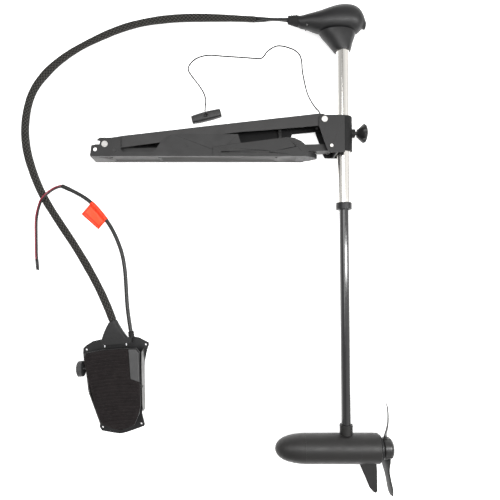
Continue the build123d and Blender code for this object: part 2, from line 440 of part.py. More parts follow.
nodes["switch_tray"] = (PED * (prism(tray_out, 44, 50) - prism(tray_in, 46, 52)).solids()[0]).solids()[0]
nodes["switch_spring"] = (PED * ring((69, 76, 46), (69, 76, 51), 5.5, 4.3)).solids()[0]
nodes["switch_pad"] = (PED * prism(btn, 51, 60)).solids()[0]
du = turned([(0, 0), (0, 23), (1.0, 25), (15, 25), (16.5, 23), (16.5, 4), (30, 4), (30, 0)], (-117.73, DIAL[0], DIAL[1]), (1, 0, 0))
for i in range(20):
    ang = math.radians(18 * i)
    du -= cyl((-119, DIAL[0] + 26.3 * math.cos(ang), DIAL[1] + 26.3 * math.sin(ang)), (-101, DIAL[0] + 26.3 * math.cos(ang), DIAL[1] + 26.3 * math.sin(ang)), 2.2)
nodes["speed_dial"] = (PED * du.solids()[0]).solids()[0]

# ---------------------------------------------------------------- write
CORDS = ("main_sheath", "steering_cable_a", "steering_cable_b", "power_cable", "red_wire", "black_wire", "wire_terminals", "cable_tag", "pull_rope", "pull_handle")
low, high = [1e9] * 3, [-1e9] * 3
for name, shape in nodes.items():
    moved = Pos(SHIFT_X, SHIFT_Y, 0) * shape
    export_step(moved, f"parts/{name}.step")
    if name not in CORDS:
        b = moved.bounding_box()
        low = [min(a, c) for a, c in zip(low, b.min)]
        high = [max(a, c) for a, c in zip(high, b.max)]
print(len(nodes), "nodes; box without cords", [round(c, 2) for c in low], [round(c, 2) for c in high])
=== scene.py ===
import bpy
import bmesh
import math
import numpy as np
from mathutils import Vector, Matrix, Quaternion


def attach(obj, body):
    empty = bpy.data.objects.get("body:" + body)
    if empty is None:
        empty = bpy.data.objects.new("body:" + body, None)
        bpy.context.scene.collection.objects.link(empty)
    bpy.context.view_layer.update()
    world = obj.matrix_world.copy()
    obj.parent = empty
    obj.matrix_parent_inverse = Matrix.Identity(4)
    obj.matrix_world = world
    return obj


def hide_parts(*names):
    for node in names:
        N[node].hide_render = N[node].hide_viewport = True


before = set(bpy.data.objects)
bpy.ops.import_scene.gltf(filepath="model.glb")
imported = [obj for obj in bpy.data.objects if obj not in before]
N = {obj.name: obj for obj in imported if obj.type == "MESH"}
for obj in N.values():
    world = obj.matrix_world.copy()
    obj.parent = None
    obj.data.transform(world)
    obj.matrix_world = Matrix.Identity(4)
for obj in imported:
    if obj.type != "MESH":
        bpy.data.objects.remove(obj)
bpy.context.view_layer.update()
SC = bpy.context.scene
SX, SY = 51.28, -23.08


def L(x, y, z):
    """A drawing coordinate in millimetres as a point in the row frame, in metres."""
    return Vector(((x + SX) / 1000, (y + SY) / 1000, z / 1000))


# ------------------------------------------------------------------ camera
cam_data = bpy.data.cameras.new("camera")
cam = bpy.data.objects.new("camera", cam_data)
SC.collection.objects.link(cam)
cam.location = (0.05128, -0.091384, 1.49439)
cam.rotation_euler = (math.radians(2.7), 0, 0)
cam_data.lens = 32.11
cam_data.sensor_width = 36
SC.camera = cam

# ------------------------------------------------------------------ cord routes, in metres
ROUTES = {
    "main_sheath": (1.6894, [(-0.4012, -0.2561, 0.0135), (-0.4227, -0.2011, 0.0130), (-0.4642, -0.1184, 0.0130), (-0.5229, -0.0188, 0.0130), (-0.5841, 0.0699, 0.0130), (-0.6395, 0.1552, 0.0130), (-0.6771, 0.2391, 0.0130), (-0.7002, 0.3141, 0.0130), (-0.7079, 0.3838, 0.0130), (-0.7030, 0.4511, 0.0130), (-0.6838, 0.5189, 0.0130), (-0.6416, 0.5778, 0.0130), (-0.5898, 0.6262, 0.0130), (-0.5332, 0.6644, 0.0130), (-0.4721, 0.6964, 0.0130), (-0.4124, 0.7241, 0.0130), (-0.3496, 0.7461, 0.0130), (-0.2831, 0.7604, 0.0130), (-0.2105, 0.7694, 0.0130), (-0.1287, 0.7718, 0.0130), (-0.0487, 0.7704, 0.0130), (0.0133, 0.7684, 0.0130), (0.0717, 0.7653, 0.0130)]),
    "steering_cable_a": (0.1155, [(0.0717, 0.7701, 0.0130), (0.0923, 0.7659, 0.0185), (0.1153, 0.7584, 0.0275), (0.1393, 0.7509, 0.0385), (0.1593, 0.7474, 0.0455), (0.1773, 0.7439, 0.0509)]),
    "steering_cable_b": (0.1157, [(0.0717, 0.7605, 0.0130), (0.0933, 0.7629, 0.0085), (0.1173, 0.7644, 0.0130), (0.1413, 0.7579, 0.0240), (0.1598, 0.7499, 0.0350), (0.1773, 0.7439, 0.0411)]),
    "power_cable": (0.5785, [(-0.3422, -0.2911, 0.0100), (-0.3497, -0.2531, 0.0080), (-0.3570, -0.2032, 0.0065), (-0.3609, -0.1430, 0.0065), (-0.3654, -0.0848, 0.0065), (-0.3753, -0.0329, 0.0065), (-0.3919, 0.0119, 0.0065), (-0.4124, 0.0535, 0.0065), (-0.4414, 0.0953, 0.0065), (-0.4806, 0.1391, 0.0065), (-0.5287, 0.1712, 0.0065), (-0.5807, 0.1942, 0.0065)]),
    "red_wire": (0.3085, [(-0.5815, 0.1968, 0.0065), (-0.5951, 0.1927, 0.0110), (-0.6068, 0.1816, 0.0240), (-0.6212, 0.1652, 0.0340), (-0.6393, 0.1446, 0.0340), (-0.6504, 0.1279, 0.0235), (-0.6630, 0.1080, 0.0090), (-0.6699, 0.0793, 0.0032), (-0.6691, 0.0428, 0.0026), (-0.6678, 0.0028, 0.0026), (-0.6666, -0.0353, 0.0026), (-0.6634, -0.0634, 0.0026)]),
    "black_wire": (0.3016, [(-0.5800, 0.1916, 0.0065), (-0.5923, 0.1881, 0.0110), (-0.6029, 0.1779, 0.0240), (-0.6172, 0.1616, 0.0340), (-0.6351, 0.1413, 0.0340), (-0.6459, 0.1250, 0.0235), (-0.6580, 0.1060, 0.0090), (-0.6645, 0.0788, 0.0032), (-0.6637, 0.0430, 0.0026), (-0.6624, 0.0030, 0.0026), (-0.6612, -0.0349, 0.0026), (-0.6580, -0.0628, 0.0026)]),
    "pull_rope": (0.8472, [(0.2833, 0.4189, 0.0460), (0.2818, 0.4339, 0.0440), (0.2699, 0.4474, 0.0380), (0.2573, 0.4733, 0.0260), (0.2474, 0.4999, 0.0145), (0.2405, 0.5299, 0.0065), (0.2351, 0.5631, 0.0024), (0.2293, 0.5938, 0.0020), (0.2290, 0.6204, 0.0020), (0.2241, 0.6448, 0.0020), (0.2083, 0.6623, 0.0020), (0.1875, 0.6714, 0.0020), (0.1641, 0.6783, 0.0020), (0.1421, 0.6793, 0.0020), (0.1245, 0.6699, 0.0020), (0.1094, 0.6588, 0.0020), (0.1008, 0.6446, 0.0020), (0.0904, 0.6335, 0.0020), (0.0685, 0.6349, 0.0020), (0.0374, 0.6375, 0.0020), (-0.0017, 0.6401, 0.0020), (-0.0437, 0.6428, 0.0020), (-0.0847, 0.6469, 0.0020), (-0.1121, 0.6432, 0.0020), (-0.1343, 0.6342, 0.0020), (-0.1516, 0.6194, 0.0020), (-0.1623, 0.5983, 0.0020), (-0.1514, 0.5787, 0.0020), (-0.1348, 0.5571, 0.0020), (-0.1173, 0.5341, 0.0020), (-0.1032, 0.5098, 0.0020), (-0.0982, 0.4839, 0.0040), (-0.1004, 0.4639, 0.0105), (-0.1004, 0.4469, 0.0160)]),
}
PTS = {k: v[1] for k, v in ROUTES.items()}


# ------------------------------------------------------------------ mesh helpers
def mesh_object(name, verts, faces, uvs=None, smooth=True, uv_name="lay"):
    me = bpy.data.meshes.new(name)
    me.from_pydata([tuple(v) for v in verts], [], faces)
    me.update()
    if smooth:
        me.polygons.foreach_set("use_smooth", [True] * len(me.polygons))
    if uvs is not None:
        layer = me.uv_layers.new(name=uv_name)
        flat = []
        for f in uvs:
            for c in f:
                flat += [c[0], c[1]]
        layer.data.foreach_set("uv", flat)
    ob = bpy.data.objects.new(name, me)
    SC.collection.objects.link(ob)
    return ob


def route_curve(name, d=0.0):
    cu = bpy.data.curves.new(name, "CURVE")
    cu.dimensions = "3D"
    sp = cu.splines.new("NURBS")
    pts = PTS[name]
    sp.points.add(len(pts) - 1)
    for p, c in zip(sp.points, pts):
        p.co = (c[0], c[1], c[2], 1)
    sp.order_u = 3
    sp.use_endpoint_u = True
    cu.resolution_u = 16
    cu.bevel_depth = d / 2
    cu.bevel_resolution = 7
    cu.use_fill_caps = True
    ob = bpy.data.objects.new(name + "_visual", cu)
    SC.collection.objects.link(ob)
    return ob


def route_line(name, step):
    """Points along the route's own NURBS line, evenly spaced."""
    ob = route_curve(name)
    ob.name = name + "_line"
    dg = bpy.context.evaluated_depsgraph_get()
    me = bpy.data.meshes.new_from_object(ob.evaluated_get(dg))
    co = np.array([v.co for v in me.vertices], float)
    bpy.data.meshes.remove(me)
    bpy.data.objects.remove(ob)
    s = np.concatenate([[0], np.cumsum(np.linalg.norm(np.diff(co, axis=0), axis=1))])
    n = max(8, int(round(s[-1] / step)))
    t = np.linspace(0, s[-1], n + 1)
    return np.stack([np.interp(t, s, co[:, i]) for i in range(3)], axis=1), t


def frames(path):
    """Tangents and two normals that don't twist along a path."""
    path = np.asarray(path, float)
    tan = np.gradient(path, axis=0)
    tan /= np.linalg.norm(tan, axis=1)[:, None]
    up = np.array([0.0, 0.0, 1.0])
    n0 = up - tan[0] * (up @ tan[0])
    n0 /= np.linalg.norm(n0)
    nor = [n0]
    for i in range(1, len(path)):
        v = nor[-1] - tan[i] * (nor[-1] @ tan[i])
        nor.append(v / np.linalg.norm(v))
    nor = np.array(nor)
    return tan, nor, np.cross(tan, nor)


def tube(name, path, radius, seg=28, caps=True):
    """Closed tube; radius(i, angle) in metres. UV: turns round, metres along."""
    tan, nor, bi = frames(path)
    s = np.concatenate([[0], np.cumsum(np.linalg.norm(np.diff(path, axis=0), axis=1))])
    verts, faces, uvs = [], [], []
    for i, p in enumerate(path):
        for k in range(seg):
            a = 2 * math.pi * k / seg
            r = radius(i, a)
            verts.append(p + r * (math.cos(a) * nor[i] + math.sin(a) * bi[i]))
    for i in range(len(path) - 1):
        for k in range(seg):
            k2 = (k + 1) % seg
            faces.append((i * seg + k, i * seg + k2, (i + 1) * seg + k2, (i + 1) * seg + k))
            u0, u1 = k / seg, (k + 1) / seg
            uvs.append(((u0, s[i]), (u1, s[i]), (u1, s[i + 1]), (u0, s[i + 1])))
    if caps:
        for i, order in ((0, -1), (len(path) - 1, 1)):
            c = len(verts)
            verts.append(path[i])
            for k in range(seg):
                k2 = (k + 1) % seg
                f = (i * seg + k, i * seg + k2, c)
                faces.append(f if order > 0 else f[::-1])
                uvs.append(((k / seg, s[i]), ((k + 1) / seg, s[i]), (k / seg, s[i])))
    return mesh_object(name, verts, faces, uvs)


def rng(seed):
    return np.random.default_rng(seed)


def smooth_noise(n, every, seed):
    """A slow random wave of n values between -1 and 1, a new value each `every` steps."""
    g = rng(seed)
    m = max(4, int(n / every) + 3)
    k = g.uniform(-1, 1, m)
    x = np.linspace(0, m - 2.001, n)
    i = x.astype(int)
    f = x - i
    f = f * f * (3 - 2 * f)
    return k[i] * (1 - f) + k[i + 1] * f


# ------------------------------------------------------------------ materials
def new_mat(name):
    m = bpy.data.materials.new(name)
    m.use_nodes = True
    nt = m.node_tree
    nt.nodes.clear()
    out = nt.nodes.new("ShaderNodeOutputMaterial")
    b = nt.nodes.new("ShaderNodeBsdfPrincipled")
    nt.links.new(b.outputs[0], out.inputs[0])
    return m, nt, b


def node(nt, kind, **kw):
    n = nt.nodes.new(kind)
    for k, v in kw.items():
        if k.startswith("i_"):
            n.inputs[k[2:].replace("_", " ")].default_value = v
        else:
            setattr(n, k, v)
    return n


def mapped_noise(nt, scale, detail=5.0, rough=0.55, stretch=(1, 1, 1)):
    tc = node(nt, "ShaderNodeTexCoord")
    mp = node(nt, "ShaderNodeMapping")
    mp.inputs["Scale"].default_value = stretch
    nz = node(nt, "ShaderNodeTexNoise")
    nz.inputs["Scale"].default_value = scale
    nz.inputs["Detail"].default_value = detail
    nz.inputs["Roughness"].default_value = rough
    nt.links.new(tc.outputs["Object"], mp.inputs["Vector"])
    nt.links.new(mp.outputs[0], nz.inputs["Vector"])
    return nz.outputs["Fac"]


def ramp(nt, fac, stops):
    r = node(nt, "ShaderNodeValToRGB")
    els = r.color_ramp.elements
    while len(els) < len(stops):
        els.new(0.5)
    for e, (p, c) in zip(els, stops):
        e.position = p
        e.color = (*c, 1)
    nt.links.new(fac, r.inputs["Fac"])
    return r.outputs["Color"]


def map_range(nt, fac, a, b, lo=0.3, hi=0.7):
    r = node(nt, "ShaderNodeMapRange")
    r.inputs["From Min"].default_value = lo
    r.inputs["From Max"].default_value = hi
    r.inputs["To Min"].default_value = a
    r.inputs["To Max"].default_value = b
    nt.links.new(fac, r.inputs["Value"])
    return r.outputs[0]


def scaled(c, k):
    return tuple(min(1.0, x * k) for x in c)


def surface(name, base, rough, metallic=0.0, var=0.2, var_scale=25, rvar=0.08, bump=0.25, bump_scale=900, dist=0.0001,
            stretch=(1, 1, 1), coat=0.0, coat_rough=0.1, spec=0.5, edge_wear_and_highlight=None, edge_wear_and_highlight_width=0.0006, sheen=0.0, specks=None):
    m, nt, b = new_mat(name)
    b.inputs["Metallic"].default_value = metallic
    b.inputs["Specular IOR Level"].default_value = spec
    b.inputs["Coat Weight"].default_value = coat
    b.inputs["Coat Roughness"].default_value = coat_rough
    if sheen:
        b.inputs["Sheen Weight"].default_value = sheen
        b.inputs["Sheen Roughness"].default_value = 0.5
    n1 = mapped_noise(nt, var_scale, 6, 0.6, stretch)
    col = ramp(nt, n1, [(0.3, scaled(base, 1 - var)), (0.52, base), (0.72, scaled(base, 1 + var))])
    if specks:
        n4 = mapped_noise(nt, specks[1], 2, 0.5)
        f = map_range(nt, n4, 0.0, 1.0, specks[2], specks[2] + 0.05)
        mx = node(nt, "ShaderNodeMix", data_type="RGBA")
        nt.links.new(f, mx.inputs["Factor"])
        nt.links.new(col, mx.inputs["A"])
        mx.inputs["B"].default_value = (*specks[0], 1)
        col = mx.outputs["Result"]
    # Pale line along the edges from the Bevel node: edge wear on some materials, a painted highlight on others.
    if edge_wear_and_highlight:
        bev = node(nt, "ShaderNodeBevel", samples=4)
        bev.inputs["Radius"].default_value = edge_wear_and_highlight_width
        geo = node(nt, "ShaderNodeNewGeometry")
        dot = node(nt, "ShaderNodeVectorMath", operation="DOT_PRODUCT")
        nt.links.new(bev.outputs[0], dot.inputs[0])
        nt.links.new(geo.outputs["Normal"], dot.inputs[1])
        edge = map_range(nt, dot.outputs["Value"], 1.0, 0.0, 0.72, 0.98)
        n5 = mapped_noise(nt, 160, 4, 0.7)
        n5m = map_range(nt, n5, 0.0, 1.0, 0.35, 0.65)
        mul = node(nt, "ShaderNodeMath", operation="MULTIPLY")
        nt.links.new(edge, mul.inputs[0])
        nt.links.new(n5m, mul.inputs[1])
        mx = node(nt, "ShaderNodeMix", data_type="RGBA")
        nt.links.new(mul.outputs[0], mx.inputs["Factor"])
        nt.links.new(col, mx.inputs["A"])
        mx.inputs["B"].default_value = (*edge_wear_and_highlight, 1)
        col = mx.outputs["Result"]
    nt.links.new(col, b.inputs["Base Color"])
    n2 = mapped_noise(nt, var_scale * 2.7, 4, 0.6, stretch)
    nt.links.new(map_range(nt, n2, max(0.02, rough - rvar), min(1.0, rough + rvar)), b.inputs["Roughness"])
    n3 = mapped_noise(nt, bump_scale, 3, 0.6, stretch)
    bp = node(nt, "ShaderNodeBump")
    bp.inputs["Strength"].default_value = bump
    bp.inputs["Distance"].default_value = dist
    nt.links.new(n3, bp.inputs["Height"])
    nt.links.new(bp.outputs[0], b.inputs["Normal"])
    return m


def weave(name, dark, light, around, pitch, rough=0.55, bump=0.6, dist=0.0004, sheen=0.15, var=0.25, spec=0.4):
    """Braid of crossing yarns from the piece's own layout: turns round in U, metres along in V."""
    m, nt, b = new_mat(name)
    b.inputs["Roughness"].default_value = rough
    b.inputs["Sheen Weight"].default_value = sheen
    b.inputs["Specular IOR Level"].default_value = spec
    uv = node(nt, "ShaderNodeUVMap", uv_map="lay")
    sep = node(nt, "ShaderNodeSeparateXYZ")
    nt.links.new(uv.outputs[0], sep.inputs[0])

    def lin(a, c, sign):
        m1 = node(nt, "ShaderNodeMath", operation="MULTIPLY")
        m1.inputs[1].default_value = a
        nt.links.new(sep.outputs["X"], m1.inputs[0])
        m2 = node(nt, "ShaderNodeMath", operation="MULTIPLY_ADD")
        m2.inputs[1].default_value = c * sign
        nt.links.new(sep.outputs["Y"], m2.inputs[0])
        nt.links.new(m1.outputs[0], m2.inputs[2])
        m3 = node(nt, "ShaderNodeMath", operation="SINE")
        nt.links.new(m2.outputs[0], m3.inputs[0])
        m4 = node(nt, "ShaderNodeMath", operation="ABSOLUTE")
        nt.links.new(m3.outputs[0], m4.inputs[0])
        return m3.outputs[0], m4.outputs[0]

    w = math.pi * around
    k = math.pi / pitch
    s1, a1 = lin(w, k, 1)
    s2, a2 = lin(w, k, -1)
    pick = node(nt, "ShaderNodeMath", operation="MULTIPLY")
    nt.links.new(s1, pick.inputs[0])
    nt.links.new(s2, pick.inputs[1])
    gt = node(nt, "ShaderNodeMath", operation="GREATER_THAN")
    gt.inputs[1].default_value = 0.0
    nt.links.new(pick.outputs[0], gt.inputs[0])
    mx = node(nt, "ShaderNodeMix", data_type="FLOAT")
    nt.links.new(gt.outputs[0], mx.inputs["Factor"])
    nt.links.new(a1, mx.inputs["A"])
    nt.links.new(a2, mx.inputs["B"])
    h = mx.outputs["Result"]
    nz = mapped_noise(nt, 45, 5, 0.6)
    # the ramp on yarn height darkens the grooves between the yarns and lightens their crowns: painted shade and painted
    # sheen
    col = ramp(nt, h, [(0.42, dark), (0.98, light)])
    tint = ramp(nt, nz, [(0.3, (1 - var,) * 3), (0.7, (1 + 0.0,) * 3)])
    mul = node(nt, "ShaderNodeMix", data_type="RGBA", blend_type="MULTIPLY")
    mul.inputs["Factor"].default_value = 1.0
    nt.links.new(col, mul.inputs["A"])
    nt.links.new(tint, mul.inputs["B"])
    nt.links.new(mul.outputs["Result"], b.inputs["Base Color"])
    bp = node(nt, "ShaderNodeBump")
    bp.inputs["Strength"].default_value = bump
    bp.inputs["Distance"].default_value = dist
    nt.links.new(h, bp.inputs["Height"])
    nt.links.new(bp.outputs[0], b.inputs["Normal"])
    return m


M = {}
# the mount paint's pale edge line is partly edge wear, partly a painted highlight
M["paint"] = surface("satin_black_paint", (0.0125, 0.0122, 0.0125), 0.5, spec=0.4, var=0.12, var_scale=9, rvar=0.07, bump=0.3, bump_scale=1500,
                     dist=0.00012, edge_wear_and_highlight=(0.06, 0.06, 0.06), edge_wear_and_highlight_width=0.0006)
M["pod"] = surface("pod_black_paint", (0.010, 0.0094, 0.0092), 0.46, spec=0.4, var=0.14, var_scale=14, rvar=0.07, bump=0.22, bump_scale=1200,
                   dist=0.00015, edge_wear_and_highlight=(0.05, 0.05, 0.05), edge_wear_and_highlight_width=0.0007)
M["plastic"] = surface("moulded_black_plastic", (0.0068, 0.0068, 0.0074), 0.42, spec=0.38, var=0.16, var_scale=20, rvar=0.08, bump=0.35, bump_scale=1800,
                       dist=0.00012)
M["cover"] = surface("cover_black_plastic", (0.0105, 0.0102, 0.0104), 0.5, spec=0.4, var=0.1, var_scale=12, rvar=0.06, bump=0.35, bump_scale=1500,
                     dist=0.00012, edge_wear_and_highlight=(0.045, 0.045, 0.045), edge_wear_and_highlight_width=0.0006)
M["cap"] = surface("nose_cap_plastic", (0.007, 0.007, 0.0075), 0.5, spec=0.5, var=0.3, var_scale=60, rvar=0.12, bump=0.8, bump_scale=260, dist=0.0008)
M["tube"] = surface("polished_tube_metal", (0.78, 0.76, 0.73), 0.16, metallic=1.0, var=0.05, var_scale=60, rvar=0.05, bump=0.12,
                    bump_scale=700, dist=0.00005, stretch=(1, 0.02, 1))
M["shaft"] = surface("gloss_black_composite", (0.010, 0.010, 0.011), 0.16, var=0.2, var_scale=30, rvar=0.05, bump=0.1, bump_scale=500,
                     dist=0.00005, stretch=(1, 0.05, 1), coat=0.5, coat_rough=0.08)
M["steel"] = surface("zinc_plated_steel", (0.62, 0.61, 0.58), 0.3, metallic=1.0, var=0.1, var_scale=200, rvar=0.1, bump=0.25, bump_scale=1500,
                     dist=0.00006)
M["bright"] = surface("bright_washer_steel", (0.86, 0.85, 0.82), 0.28, metallic=0.9, var=0.06, var_scale=220, rvar=0.08, bump=0.2,
                      bump_scale=1600, dist=0.00005)
M["rubber"] = surface("matt_black_rubber", (0.008, 0.0077, 0.008), 0.78, var=0.2, var_scale=40, rvar=0.08, bump=0.5, bump_scale=1500,
                      dist=0.00015, spec=0.35)
M["tread"] = surface("tread_rubber", (0.0105, 0.0082, 0.0084), 0.85, var=0.3, var_scale=35, rvar=0.08, bump=0.7, bump_scale=1300, dist=0.0002,
                     spec=0.2, specks=((0.020, 0.017, 0.017), 260, 0.62))
M["boot"] = surface("boot_rubber", (0.011, 0.011, 0.0115), 0.6, spec=0.38, var=0.2, var_scale=45, rvar=0.1, bump=0.5, bump_scale=900, dist=0.0002)
M["jacket"] = surface("cable_jacket", (0.010, 0.0103, 0.010), 0.44, spec=0.4, var=0.2, var_scale=40, rvar=0.08, bump=0.3, bump_scale=700, dist=0.0001)
M["red"] = surface("red_insulation", (0.20, 0.014, 0.030), 0.4, var=0.15, var_scale=60, rvar=0.08, bump=0.2, bump_scale=900, dist=0.00006)
M["blackwire"] = surface("black_insulation", (0.009, 0.009, 0.0095), 0.4, var=0.15, var_scale=60, rvar=0.08, bump=0.2, bump_scale=900,
                         dist=0.00006)
M["grey"] = surface("grey_switch_rubber", (0.042, 0.042, 0.043), 0.6, var=0.12, var_scale=25, rvar=0.08, bump=0.4, bump_scale=1300,
                    dist=0.00015)
M["dial"] = surface("grey_dial_plastic", (0.034, 0.034, 0.035), 0.5, var=0.12, var_scale=40, rvar=0.08, bump=0.3, bump_scale=1500,
                    dist=0.0001)
M["prop"] = surface("propeller_plastic", (0.009, 0.0088, 0.0088), 0.36, var=0.15, var_scale=25, rvar=0.08, bump=0.25, bump_scale=900,
                    dist=0.00012)
M["copper"] = surface("copper_bars", (0.72, 0.36, 0.2), 0.3, metallic=1.0, var=0.15, var_scale=120, rvar=0.1, bump=0.3, bump_scale=900,
                      dist=0.0001)
M["iron"] = surface("laminated_iron", (0.16, 0.155, 0.15), 0.5, metallic=0.8, var=0.25, var_scale=90, rvar=0.12, bump=0.5, bump_scale=900,
                    dist=0.0002, stretch=(6, 1, 1))
M["ferrite"] = surface("ferrite_magnet", (0.05, 0.05, 0.052), 0.6, var=0.25, var_scale=90, rvar=0.1, bump=0.5, bump_scale=700, dist=0.0002)
M["bronze"] = surface("bearing_bronze", (0.55, 0.38, 0.18), 0.35, metallic=1.0, var=0.15, var_scale=120, rvar=0.1, bump=0.2,
                      bump_scale=900, dist=0.00008)
# the grip's pale edge line is a painted highlight
M["grip"] = surface("grip_plastic", (0.013, 0.013, 0.0135), 0.5, var=0.35, var_scale=150, rvar=0.12, bump=0.8, bump_scale=420, dist=0.0006,
                    edge_wear_and_highlight=(0.16, 0.16, 0.155), edge_wear_and_highlight_width=0.0011)
M["sleeve"] = weave("braided_sleeve", (0.0006, 0.0006, 0.0006), (0.05, 0.048, 0.043), around=7, pitch=0.0135, rough=0.7, bump=0.9, dist=0.0012, sheen=0.0, spec=0.22)
M["rope"] = weave("braided_rope", (0.001, 0.001, 0.001), (0.006, 0.006, 0.006), around=6, pitch=0.0024, rough=0.85, dist=0.0003, sheen=0.0, spec=0.08)

# a lighter copy of the mount paint for the outer arm, with the same pale edge line: partly edge wear, partly a painted
# highlight
M["arm"] = surface("arm_black_paint", (0.0185, 0.0180, 0.0182), 0.5, var=0.12, var_scale=9, rvar=0.07, bump=0.3, bump_scale=1500, dist=0.00012,
                   spec=0.4, edge_wear_and_highlight=(0.06, 0.06, 0.06), edge_wear_and_highlight_width=0.0006)
M["darksteel"] = surface("blackened_steel", (0.02, 0.02, 0.02), 0.45, metallic=0.3, var=0.2, var_scale=90, rvar=0.1, bump=0.25, bump_scale=1200,
                         dist=0.00008)
M["dullsteel"] = surface("dull_zinc_washer", (0.42, 0.41, 0.40), 0.42, metallic=0.75, var=0.2, var_scale=260, rvar=0.1, bump=0.3, bump_scale=900,
                         dist=0.00012)
M["screw"] = surface("grey_screw_head", (0.10, 0.10, 0.10), 0.5, metallic=0.6, var=0.2, var_scale=200, rvar=0.1, bump=0.3, bump_scale=900, dist=0.0001)
# a paler copy of the paint for the base's downward-facing face: painted light
M["painted_lit_face"] = surface("painted_light_underside_paint", (0.045, 0.044, 0.043), 0.55, var=0.12, var_scale=9, rvar=0.07, bump=0.3, bump_scale=1500, dist=0.00012)
# a near-black copy of the paint laid on the insides and on rounded edges: painted shade
M["painted_shade"] = surface("painted_shade_black_paint", (0.0035, 0.0035, 0.0038), 0.6, var=0.15, var_scale=14, rvar=0.08, bump=0.3, bump_scale=1500, dist=0.00012, spec=0.25)


# ------------------------------------------------------------------ dressing the CAD nodes
def dress(name, mat, bevel=0.0005, angle=32, segments=2):
    o = N[name]
    me = o.data
    for a in ("custom_normal",):
        if a in me.attributes:
            me.attributes.remove(me.attributes[a])
    me.polygons.foreach_set("use_smooth", [True] * len(me.polygons))
    me.materials.clear()
    me.materials.append(M[mat])
    w = o.modifiers.new("weld", "WELD")
    w.merge_threshold = 0.00001
    if bevel:
        b = o.modifiers.new("edge", "BEVEL")
        b.width = bevel
        b.segments = segments
        b.limit_method = "ANGLE"
        b.angle_limit = math.radians(angle)
        b.harden_normals = False
        b.use_clamp_overlap = True
        b.miter_outer = "MITER_ARC"
    n = o.modifiers.new("normals", "WEIGHTED_NORMAL")
    n.keep_sharp = True
    n.weight = 50
    return o


DRESS = {
    "outer_tube": ("tube", 0.0004), "tube_collar": ("plastic", 0.0010), "upper_bush": ("plastic", 0.0004),
    "steering_shaft": ("shaft", 0.0004), "steering_drum": ("plastic", 0.0005),
    "head_lower_housing": ("plastic", 0.0005), "head_top_cover": ("plastic", 0.0005), "head_neck": ("rubber", 0.0003), "head_screws": ("screw", 0.0004),
    "nose_cone": ("pod", 0.0004), "motor_housing": ("pod", 0.0005), "rear_housing": ("pod", 0.0012), "magnets": ("ferrite", 0.0005),
    "front_bearing": ("steel", 0.0005), "rear_bearing": ("steel", 0.0005), "shaft_seal": ("rubber", 0.0004), "brush_plate": ("plastic", 0.0005),
    "through_bolts": ("steel", 0.0003), "motor_shaft": ("steel", 0.0004), "armature": ("iron", 0.0004), "commutator": ("copper", 0.0004),
    "propeller": ("prop", 0.0003), "prop_spacer": ("plastic", 0.0006), "prop_fasteners": ("steel", 0.0005),
    "column_bracket": ("paint", 0.0007), "bracket_pins": ("bright", 0.0008), "tension_knob": ("plastic", 0.0010),
    "outer_arm": ("arm", 0.0007), "arm_screws": ("screw", 0.0005), "rope_grommet": ("rubber", 0.0006), "latch_lever": ("darksteel", 0.0007),
    "inner_arm": ("paint", 0.0007), "mount_base": ("paint", 0.0005), "near_cover": ("cover", 0.0010), "far_cover": ("cover", 0.0010),
    "cover_rivets": ("paint", 0.0004), "nose_cap": ("cap", 0.0012), "base_pins": ("bright", 0.0008),
    "pedal_base": ("plastic", 0.0009), "pedal_side_plates": ("sideplate", 0.0008), "pedal_pivot_pin": ("darksteel", 0.0005), "pedal_boot": ("boot", 0.0010),
    "pedal_grommet": ("rubber", 0.0006), "treadle": ("plastic", 0.0007), "cable_quadrant": ("plastic", 0.0006), "switch_tray": ("plastic", 0.0005),
    "switch_spring": ("steel", 0.0002), "switch_pad": ("grey", 0.0018), "speed_dial": ("dial", 0.0006),
}
# the side plates' wide beige edge line is a painted highlight
M["sideplate"] = surface("side_plate_paint", (0.03, 0.029, 0.028), 0.36, var=0.15, var_scale=12, rvar=0.08, bump=0.25, bump_scale=1200,
                         dist=0.0001, edge_wear_and_highlight=(0.20, 0.19, 0.17), edge_wear_and_highlight_width=0.0018)
for k, (mat_name, bev) in DRESS.items():
    dress(k, mat_name, bev)


def rolled(name, width, test, segments=4):
    """A wider rounded edge on the edges of a node whose two ends pass the test, its faces given the near-black copy of
    the paint as a painted shadow band.
    """
    o = N[name]
    me = o.data
    att = me.attributes.get("bevel_weight_edge") or me.attributes.new("bevel_weight_edge", "FLOAT", "EDGE")
    co = [(v.co.x * 1000 - SX, v.co.y * 1000 - SY, v.co.z * 1000) for v in me.vertices]
    for e in me.edges:
        p, q = co[e.vertices[0]], co[e.vertices[1]]
        if test(*p) and test(*q):
            att.data[e.index].value = 1.0
    m = o.modifiers.new("rolled", "BEVEL")
    m.limit_method = "WEIGHT"
    m.width = width
    m.segments = segments
    m.use_clamp_overlap = True
    o.data.materials.append(M["painted_shade"])
    m.material = len(o.data.materials) - 1
    o.modifiers.move(len(o.modifiers) - 1, 1)


def hump(x, y, z):
    return z > 87.9 and y > 309 and (-315 < x < -245 or -262 < x < 190) and math.hypot(x + 434, y - 317) > 8


# the hump's top edge gets a wide rounded band in the near-black copy of the paint: a painted shadow along the wall's
# edge
rolled("mount_base", 0.0028, hump)


def faces_to(name, mat, test):
    """Gives the faces of a node whose centre passes the test (layout mm) another material."""
    me = N[name].data
    me.materials.append(M[mat])
    k = len(me.materials) - 1
    for p in me.polygons:
        c = p.center
        if test(c.x * 1000 - SX, c.y * 1000 - SY, c.z * 1000, p.normal):
            p.material_index = k


# dull washer at the arm's outer pivot, dark ends on the open pivot and the hook pin, bright heads only on the bracket's near side
faces_to("base_pins", "dullsteel", lambda x, y, z, n: math.hypot(x + 464, y - 337) < 14)
faces_to("base_pins", "darksteel", lambda x, y, z, n: math.hypot(x + 464, y - 337) >= 14)
